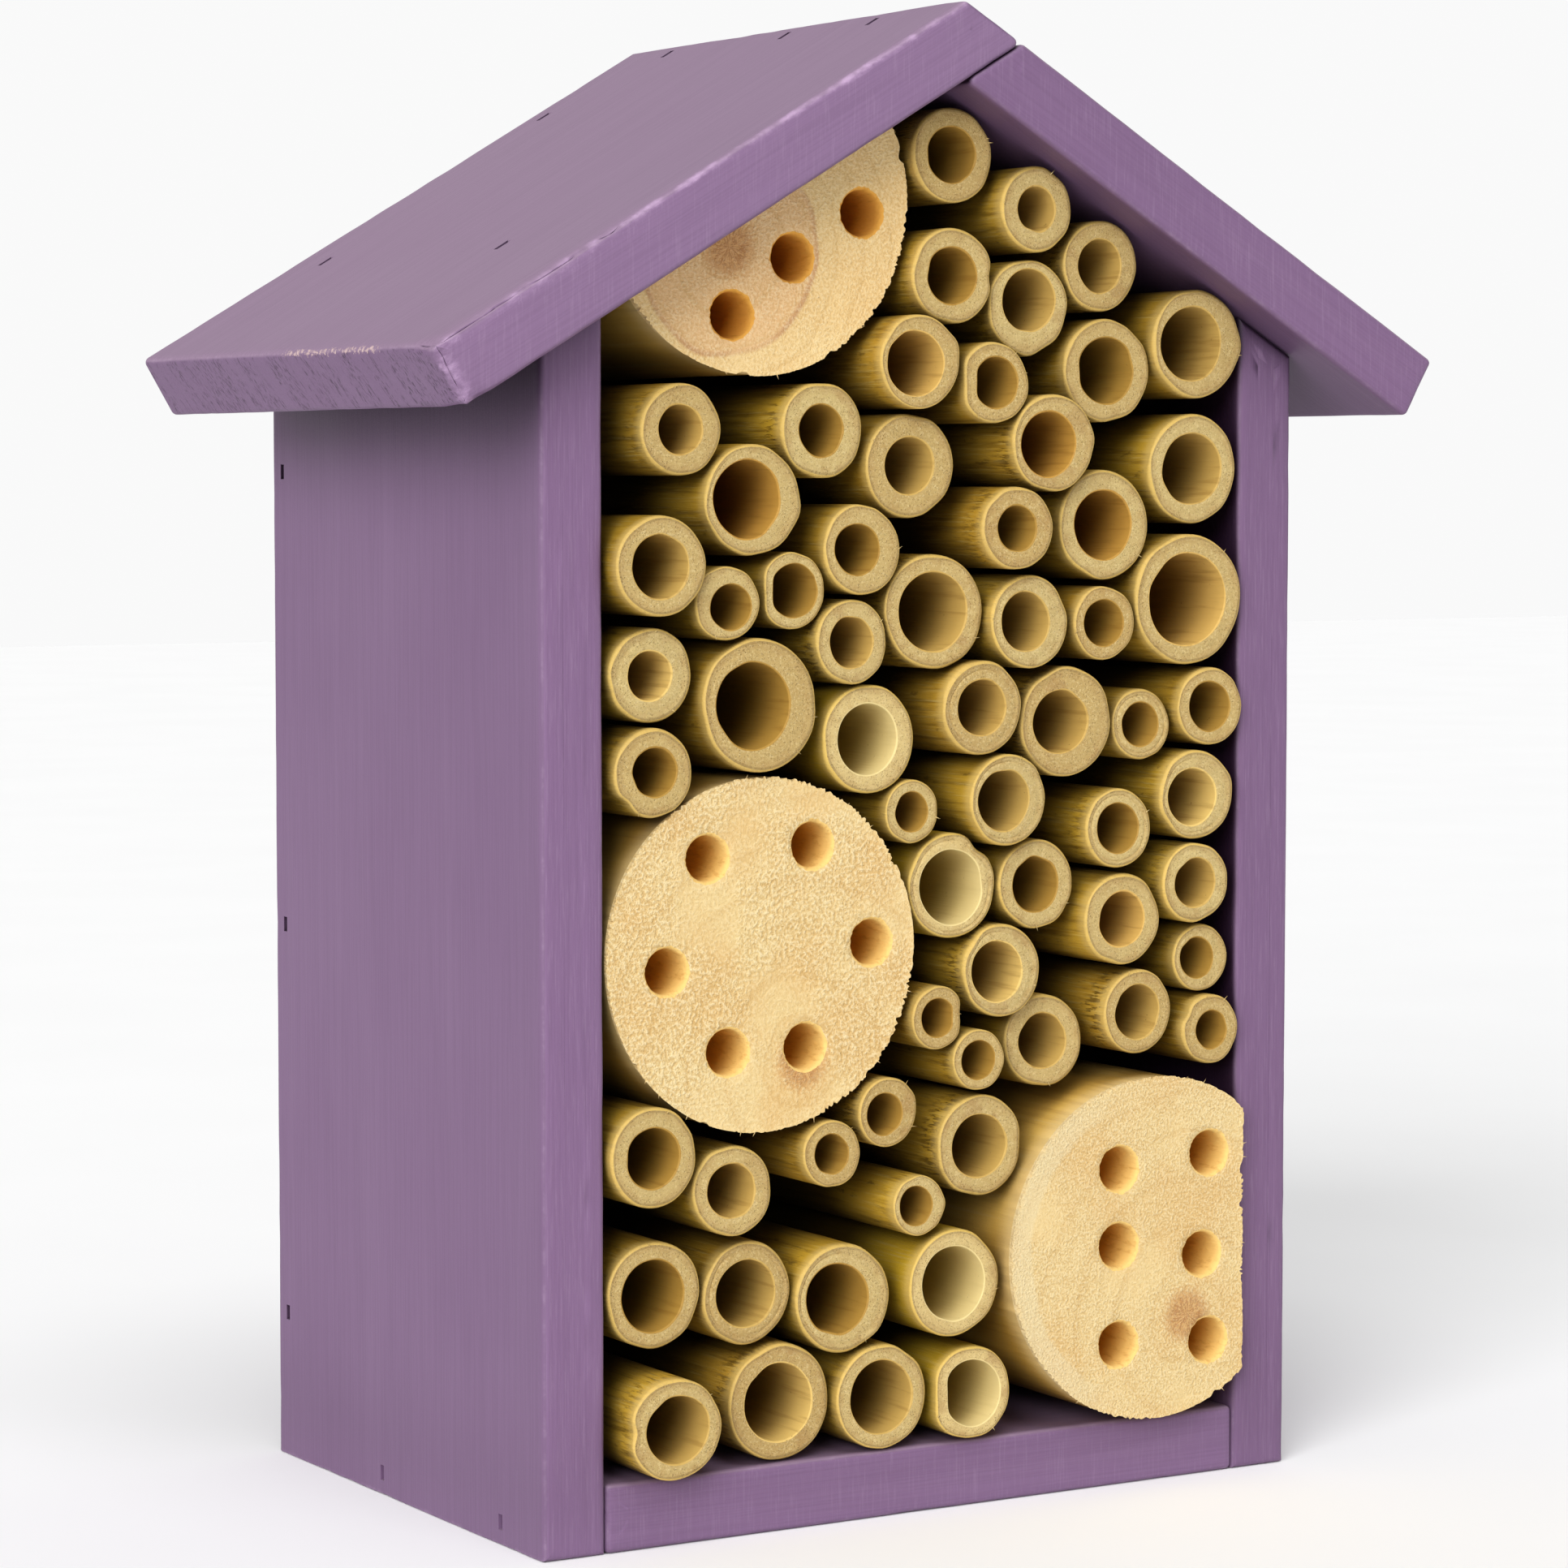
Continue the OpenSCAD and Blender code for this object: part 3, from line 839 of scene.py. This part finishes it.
def whittled(radii, rng, cuts, bite):
    """Radii with a few flats cut in and a slow swell, never larger than they were, then smoothed."""
    count = len(radii)
    flats = [(rng.uniform(0, math.tau), rng.uniform(0.25, 1.0) * bite) for _ in range(cuts)]
    phase, phase_2 = rng.uniform(0, math.tau), rng.uniform(0, math.tau)
    cut = []
    for i, radius in enumerate(radii):
        angle = math.tau * i / count
        swell = 0.5 + 0.3 * math.sin(2 * angle + phase) + 0.2 * math.sin(3 * angle + phase_2)
        here = radius * (1 - 0.45 * bite * swell)
        for at, deep in flats:
            off = math.cos(angle - at)
            if off > 0.1:
                here = min(here, radius * (1 - deep) / off)
        cut.append(here)
    for _ in range(2):
        cut = [(cut[i - 1] + 2 * cut[i] + cut[(i + 1) % count]) / 4 for i in range(count)]
    return cut


def cane_mesh(part, rng, traits):
    """A hollow cane on its CAD outlines: whittled flats, worn lips, an uneven wall, a fibrous cut end."""
    outer, (bore,), front_y, bore_end_y, back_y = bored_shape(part)
    outer_centre, bore_centre = middle(outer), middle(bore)
    outer_radii = radii_round(outer, outer_centre, CANE_SIDES)
    bore_radii = radii_round(bore, bore_centre, CANE_SIDES)
    wall = (sum(outer_radii) - sum(bore_radii)) / CANE_SIDES
    outer_radii = whittled(outer_radii, rng, rng.randint(2, 5), SKIN_BITE)
    bore_radii = whittled(bore_radii, rng, rng.randint(0, 3), BORE_BITE)
    lip = min(LIP_MOST, wall * LIP_SHARE)
    seed = rng.uniform(0, 100)
    tilt = Vector((rng.uniform(-1, 1), rng.uniform(-1, 1))) * math.tan(END_TILT)
    groove = rng.choice(SAW_GROOVES)
    directions = compass(CANE_SIDES)
    lips = [lip * (0.85 + 0.5 * wander((d.x * mm(5), d.y * mm(5), 0), mm(3), seed)) for d in directions]

    def outer_point(i, inset, y):
        """A point of the outside, drawn in by inset lips."""
        d = directions[i]
        rough = 0.006 * (1 + wander((d.x * mm(6), y * 0.3, d.y * mm(6)), mm(1.8), seed))
        p = outer_centre + d * (outer_radii[i] * (1 - rough) - inset * lips[i])
        return Vector((p.x, y + tilt.dot(p - outer_centre), p.y))

    def bore_point(i, outset, y):
        """A point of the bore, widened by outset lips. The cut's tilt fades out within TILT_REACH."""
        d = directions[i]
        rough = 0.012 * wander((d.x * mm(4), y * 0.4, d.y * mm(4)), mm(2.5), seed + 9)
        settled = min(1.0, max(0.0, (y - front_y) / TILT_REACH))
        p = bore_centre + d * (bore_radii[i] * (1 + rough) + outset * lips[i])
        return Vector((p.x, y + (1 - settled) * tilt.dot(p - outer_centre), p.y))

    def row(make, offset, depth, lips_deeper=0):
        """A ring of points this deep behind the front, or so many lips deeper."""
        return [make(i, offset, front_y + depth + lips_deeper * lips[i]) for i in range(CANE_SIDES)]

    skin_rows = [row(outer_point, 0, (1 - stop) * (back_y - front_y)) for stop in SKIN_STOPS]
    skin_rows[0] = [Vector((p.x, back_y, p.z)) for p in skin_rows[0]]
    bore_rows = []
    for angle in quarter_turn(LIP_STEPS):
        past_sine, past_cosine = 1 - math.sin(angle), 1 - math.cos(angle)
        skin_rows.append(row(outer_point, past_cosine, 0, past_sine))
        bore_rows.append(row(bore_point, BORE_LIP * past_sine, 0, BORE_LIP * past_cosine))
    bore_rows += [row(bore_point, 0, stop * (bore_end_y - front_y)) for stop in BORE_STOPS]
    end_rows = []
    for step in range(1, END_RINGS):
        points = [a.lerp(b, step / END_RINGS) for a, b in zip(skin_rows[-1], bore_rows[0])]
        for p in points:
            p.y += mm(0.09) * wander(p, mm(1.1), seed + 4)
            p.y += mm(groove) if step == 2 else 0.0
        end_rows.append(points)

    mesh = bmesh.new()
    layers = {name: mesh.verts.layers.float.new(name) for name in ("rim", "depth", *traits)}
    last_skin = len(skin_rows) - 1
    # The last step of the lip already shows the cut end
    finishes = [SIDE] * (last_skin - 1) + [END] * (len(end_rows) + 2) + [HOLE] * len(bore_rows)
    rings = tube(mesh, skin_rows + end_rows + bore_rows, finishes)
    mesh.faces.new(rings[0][::-1]).material_index = SIDE
    cone(mesh, rings[-1], (bore_centre.x, bore_end_y + mm(1), bore_centre.y), HOLE)
    for _ in range(rng.choice((0, 1, 1, 3))):
        i = rng.randrange(CANE_SIDES)
        out = Vector((directions[i].x, rng.uniform(-0.9, 0.1), directions[i].y))
        lean = Vector((rng.uniform(-0.6, 0.6), 0, rng.uniform(-0.6, 0.6)))
        splinter(mesh, rings[last_skin][i].co.copy(), out + lean, mm(rng.uniform(0.5, 1.2)), mm(0.1))
    for index, verts in enumerate(rings):
        for vert in verts:
            vert[layers["rim"]] = min(1.0, max(0.0, 1 - (index - last_skin) / END_RINGS))
    for vert in mesh.verts:
        vert[layers["depth"]] = (vert.co.y - front_y) * 1000
        for name, value in traits.items():
            vert[layers[name]] = value
    return mesh


def cane_traits(name, rng):
    """How one cane looks, as numbers from 0 to 1 that its materials read."""

    def listed(names):
        return float(name.startswith(names))

    return {
        "tint": rng.random(),
        "pale": listed(PALE_CANES),
        "warm": listed(WARM_CANES) * 0.8 + rng.random() * 0.2,
        "light": 0.5 + 0.5 * listed(BRIGHT_CANES) - 0.5 * listed(DARK_AND_SHADED_CANES),
        "torn": max(rng.random() ** 2, listed(STREAKED_CANES)),
        "olive": rng.random(),
    }


def low_then_left(part):
    return round(min(v.co.z for v in part), 4), min(v.co.x for v in part)


def make_canes():
    materials = [cane_end(), cane_skin(), cane_bore()]
    for node in sorted(name for name in frame["nodes"] if "cane" in name):
        cad = welded(node)
        parts = sorted(loose_parts(cad), key=low_then_left)
        for number, part in enumerate(parts, 1):
            name = node if len(parts) == 1 else "slim_cane_%02d" % number
            rng = random.Random(name + str(SEED))
            mesh = cane_mesh(part, rng, cane_traits(name, rng))
            new_piece(name + "_bamboo", mesh, materials, node, smooth_angle=60)
        cad.free()


# ---- drilled logs

HOLE_SIDES = 60
HOLE_STOPS = (2, 4, 7, 11, 16, 24, 40)
HOLE_POINT = mm(2.2)
MOUTH_GROWTH = mm(0.35)
LOG_SIDES = 480
BARREL_ROWS = 12
BARREL_INSET = mm(0.35)
FIBRES = 14
FACE_PACE = mm(1.3)


def inside(point, outline):
    """Whether a 2-D point is inside a closed outline."""
    hit = False
    for i in range(len(outline)):
        a, b = outline[i - 1], outline[i]
        if (a.y > point.y) != (b.y > point.y) and point.x < (b.x - a.x) * (point.y - a.y) / (b.y - a.y) + a.x:
            hit = not hit
    return hit


def log_barrel(mesh, outline, front_y, back_y, seed):
    """The log's peeled round and the toothed, fibrous rim that the saw left. Returns the rim's ring."""
    centre = middle(outline)
    radii = radii_round(outline, centre, LOG_SIDES)
    directions = compass(LOG_SIDES)
    teeth = []
    for direction, radius in zip(directions, radii):
        base = centre + direction * radius
        point = (base.x, 0, base.y)
        saw = abs(wander(point, mm(0.7), seed)) * max(0.15, 0.55 + 1.5 * wander(point, mm(11), seed + 5))
        chips = max(0.0, wander(point, mm(2.2), seed + 1) - 0.25)
        teeth.append(min(mm(0.9), mm(1.1) * saw + mm(1.5) * chips))

    def row(insets, y):
        points = []
        for direction, radius, inset in zip(directions, radii, insets):
            base = centre + direction * radius
            swell = mm(0.25) * (0.5 + 0.5 * wander((base.x, y, base.y), mm(22), seed + 2))
            p = centre + direction * (radius - inset - swell)
            points.append((p.x, y, p.y))
        return points

    barrel_end = front_y + mm(1.2)
    rows = [row([BARREL_INSET] * LOG_SIDES, back_y + (barrel_end - back_y) * k / BARREL_ROWS)
            for k in range(BARREL_ROWS + 1)]
    rows.append(row([(BARREL_INSET + tooth) / 2 for tooth in teeth], front_y + mm(0.45)))
    rows.append(row(teeth, front_y))
    rings = tube(mesh, rows, [SIDE] * BARREL_ROWS + [END] * 2)
    mesh.faces.new(rings[0][::-1]).material_index = SIDE
    rng = random.Random(seed + 7)
    for _ in range(FIBRES):
        base = rings[-1][rng.randrange(LOG_SIDES)].co.copy()
        out = (base - Vector((centre.x, base.y, centre.y))).normalized()
        lean = Vector((rng.uniform(-1, 1), rng.uniform(-0.6, 0.4), rng.uniform(-1, 1)))
        splinter(mesh, base, out + lean * 0.8, mm(rng.uniform(0.4, 1.1)), mm(0.08))
    return rings[-1]


def drill(mesh, hole, front_y, end_y, seed, number):
    """A drilled hole with a torn mouth and a pointed end. Returns its mouth's ring, centre and radius."""
    centre = middle(hole)
    radius = sum((p - centre).length for p in hole) / len(hole)
    levels = [(MOUTH_GROWTH, front_y), (MOUTH_GROWTH * 0.35, front_y + mm(0.18)), (0, front_y + mm(0.6))]
    levels += [(0, front_y + mm(stop)) for stop in HOLE_STOPS] + [(0, end_y - HOLE_POINT)]
    rows = []
    for outset, y in levels:
        rows.append([])
        for d in compass(HOLE_SIDES):
            torn = mm(0.55) * abs(wander((d.x * mm(4), 0, d.y * mm(4)), mm(0.7), seed + number))
            wall = mm(0.06) * wander((d.x * mm(4), y, d.y * mm(4)), mm(1.5), seed + 30 + number)
            p = centre + d * (radius + wall + (torn + outset if outset else 0))
            rows[-1].append((p.x, y, p.y))
    rings = tube(mesh, rows, [HOLE] * len(rows))
    cone(mesh, rings[-1], (centre.x, end_y, centre.y), HOLE)
    return rings[0], centre, radius


def paces(start, end):
    while start + FACE_PACE < end:
        start += FACE_PACE
        yield start


def fill_face(mesh, node, rim, mouths, front_y, seed):
    """Triangles over the sawn face, between its rim and its holes' mouths, with a faint roughness."""
    points, owners, edges = [], [], []
    for loop in [rim] + [mouth for mouth, _, _ in mouths]:
        base = len(points)
        points += [flat(vert) for vert in loop]
        owners += loop
        edges += [(base + k, base + (k + 1) % len(loop)) for k in range(len(loop))]
    rim_outline = [flat(vert) for vert in rim]
    mouth_outlines = [[flat(vert) for vert in mouth] for mouth, _, _ in mouths]
    rng = random.Random(seed)
    low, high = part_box(node)
    for z, x in ((z, x) for z in paces(low.z, high.z) for x in paces(low.x, high.x)):
        p = Vector((x + rng.uniform(-0.3, 0.3) * FACE_PACE, z + rng.uniform(-0.3, 0.3) * FACE_PACE))
        clear_of_rim = min((p - q).length for q in rim_outline[::3]) > FACE_PACE * 0.7
        clear_of_holes = all((p - centre).length > radius + mm(1.4) for _, centre, radius in mouths)
        if clear_of_rim and clear_of_holes and inside(p, rim_outline):
            points.append(p)
            owners.append(None)
    flat_points, _, triangles, origins, _, _ = delaunay_2d_cdt(points, edges, [], 0, mm(0.001))
    verts = []
    for p, origin in zip(flat_points, origins):
        owner = next((owners[o] for o in origin if owners[o] is not None), None)
        if owner is None:
            y = front_y + mm(0.10) * (1 + wander((p.x, 0, p.y), mm(2.6), seed + 60))
            owner = mesh.verts.new((p.x, y, p.y))
        verts.append(owner)
    for tri in triangles:
        p = sum((flat_points[i] for i in tri), Vector((0, 0))) / 3
        corners = [verts[i] for i in tri]
        in_wood = inside(p, rim_outline) and not any(inside(p, outline) for outline in mouth_outlines)
        if in_wood and len(set(corners)) == 3:
            mesh.faces.new(corners)


def log_piece(node, materials, seed):
    """A drilled log section: rough sawn face, ragged hole mouths and rim, peeled round side."""
    cad = welded(node)
    outline, holes, front_y, hole_end_y, back_y = bored_shape(list(cad.verts))
    cad.free()
    mesh = bmesh.new()
    rim = log_barrel(mesh, outline, front_y, back_y, seed)
    mouths = [drill(mesh, hole, front_y, hole_end_y, seed, number) for number, hole in enumerate(holes)]
    fill_face(mesh, node, rim, mouths, front_y, seed)
    rim_points = [flat(vert) for vert in rim[::2]]
    depth = mesh.verts.layers.float.new("depth")
    inset = mesh.verts.layers.float.new("inset")
    for vert in mesh.verts:
        vert[depth] = (vert.co.y - front_y) * 1000
        if vert[depth] < 1:
            vert[inset] = min((flat(vert) - q).length for q in rim_points) * 1000
    new_piece(node + "_pine", mesh, materials, node, smooth_angle=50)


# ---- the object

RIDGE_SHARE = mm(6)


def roof_slope():
    """The roof's pitch, from the longest side of the left board's outline."""
    corners = board_corners("roof_left")
    longest = max((corners[i] - corners[i - 1] for i in range(len(corners))), key=lambda side: side.length)
    return math.atan2(abs(longest.y), abs(longest.x))


def roof_rubs(slope):
    """Where the left roof board is rubbed: its front corner at the eave, and the edges that meet there."""
    along = Vector((math.cos(slope), 0, math.sin(slope)))
    down = Vector((math.sin(slope), 0, -math.cos(slope)))
    back = Vector((0, 1, 0))
    eave_top = min(board_corners("roof_left"), key=lambda c: c.x)
    tip = Vector((eave_top.x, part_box("roof_left")[0].y, eave_top.y))
    return [
        Rub(tip, tip + down * mm(12), reach=mm(4.2), chalk=0.9, bare=0.0, depth=mm(1.7)),
        Rub(tip, tip + along * mm(42), reach=mm(3.2), chalk=0.85, bare=0.0, depth=mm(1.1)),
        Rub(tip, tip + along * mm(125), reach=mm(1.5), chalk=1.1, bare=0.75, depth=mm(0.25)),
        Rub(tip + back * mm(20), tip + back * mm(58), reach=mm(2.4), chalk=0.5, bare=1.05, depth=mm(0.3)),
        Rub(tip + back * mm(4), tip + back * mm(100), reach=mm(1.2), chalk=0.5, bare=0.85, depth=mm(0.15)),
    ]


def make_boards():
    slope = roof_slope()
    upright = paint("paint_upright", "z")
    left_side = board("left_side", upright, 1, rounding=CLOSE_FIT)
    # The right-hand boards are shaded copies of the paint, with painted shade on their front faces
    right_side = board("right_side", paint("paint_right_upright_painted_shade", "z", front_chalk_and_shade=-0.16), 2, rounding=CLOSE_FIT)
    back_panel = board("back_panel", upright, 3, rounding=CLOSE_FIT)
    board("floor_board", paint("paint_level", "x"), 4)
    roof_left = board("roof_left", paint("paint_left_slope", "x", slope, 0.1), 5, roof_rubs(slope), mm(2.5))
    roof_right = board("roof_right", paint("paint_right_slope_painted_shade", "x", -slope, -0.1), 6)
    middle_x = (cad_low.x + cad_high.x) / 2
    for node, left, right, parting_x in (("side_brads", left_side, right_side, middle_x),
                                         ("roof_brads", roof_left, roof_right, middle_x + RIDGE_SHARE)):
        places = brad_places(node)
        cut_brad_slots(left, [place for place in places if place[0].x < parting_x])
        cut_brad_slots(right, [place for place in places if place[0].x > parting_x])
    cut_hanging_hole(back_panel)


def make_logs():
    side = pine_side()
    pale_hole = pine_hole("pine_hole", (232, 197, 122), (228, 164, 56))
    brown_hole = pine_hole("pine_hole_brown", (222, 164, 74), (204, 128, 30))
    logs = {
        "upper_log": (pine_end("upper_log_end", (-41, 222), 5.6, 5.5, 2.0, 0.65, heart=17.2), brown_hole),
        "middle_log": (pine_end("middle_log_end", (-27, 82), 5.4, 8.0), pale_hole),
        "lower_log": (pine_end("lower_log_end", (53.3, 30.5), 5.4, 8.5, 2.2, 0.8, band=0.4), pale_hole),
    }
    for number, (node, (end, hole)) in enumerate(logs.items(), 1):
        log_piece(node, [end, side, hole], 40 * number)


def finish_brads():
    steel = brad_steel()
    for node in ("side_brads", "roof_brads"):
        materials = frame["nodes"][node].data.materials
        materials.clear()
        materials.append(steel)


# ---- floor, light and camera

FLOOR_HALF = 4.0
# From and to which height, as a sine, the sky fades, and its strength below and above
SKY_FADE = {"From Min": 0.12, "From Max": 0.40, "To Min": 0.95, "To Max": 0.42}
CAMERA_AZIMUTH = -31.09
CAMERA_ELEVATION = 3.80
CAMERA_DISTANCE = 0.8488
CAMERA_LENS_MM = 105.4
CAMERA_AIM = Vector((-0.0006, 0.0010, 0.1264))


def make_floor():
    g = Graph("studio_floor")
    mottle = g.noise(g.place(), 0.01, 2, 0.5)
    g.colour = g.mix(mottle, (246, 246, 246), (250, 250, 250))
    data = bpy.data.meshes.new("studio_floor")
    data.from_pydata([(x * FLOOR_HALF, y * FLOOR_HALF, cad_low.z) for x, y in SQUARE], [], [(0, 1, 2, 3)])
    data.materials.append(g.finish(0.9, mottle, 0.01, specular=0.1))
    add_object("studio_floor", data)


def stand_off(thing, aim, azimuth, elevation, distance):
    """Points a light or camera at aim from a distance. Azimuth 0 is in front, negative to the left."""
    a, e = math.radians(azimuth), math.radians(elevation)
    away = Vector((math.sin(a) * math.cos(e), -math.cos(a) * math.cos(e), math.sin(e)))
    thing.location = aim + away * distance
    thing.rotation_mode = "QUATERNION"
    thing.rotation_quaternion = (-away).to_track_quat("-Z", "Y")


def soft_sun(name, azimuth, elevation, softness, strength):
    """An even light from far away, as soft as its width in the sky in degrees."""
    data = bpy.data.lights.new(name, "SUN")
    data.angle = math.radians(softness)
    data.energy = strength
    stand_off(add_object(name, data), Vector(), azimuth, elevation, 1)


def make_light():
    """A studio that is white at eye level and dimmer overhead, with a low wide key from the front left."""
    world = bpy.data.worlds.new("studio")
    world.use_nodes = True
    tree = world.node_tree
    direction = new_node(tree, "TexCoord").outputs["Generated"]
    up = new_node(tree, "SeparateXYZ", {0: direction}).outputs["Z"]
    fade = new_node(tree, "MapRange", {"Value": up, **SKY_FADE}, interpolation_type="SMOOTHSTEP")
    background = tree.nodes["Background"]
    feed(background.inputs["Strength"], fade.outputs["Result"])
    feed(background.inputs["Color"], (1, 1, 1, 1))
    scene.world = world
    soft_sun("key", azimuth=-52, elevation=24, softness=34, strength=2.3)
    soft_sun("top", azimuth=-20, elevation=66, softness=30, strength=1.0)
    scene.view_settings.view_transform = "Standard"


def make_camera():
    data = bpy.data.cameras.new("camera")
    data.sensor_width = 36
    data.lens = CAMERA_LENS_MM
    data.clip_start, data.clip_end = 0.05, 20
    scene.camera = add_object("camera", data)
    stand_off(scene.camera, CAMERA_AIM, CAMERA_AZIMUTH, CAMERA_ELEVATION, CAMERA_DISTANCE)


make_camera()
make_light()
make_floor()
make_boards()
make_canes()
make_logs()
finish_brads()
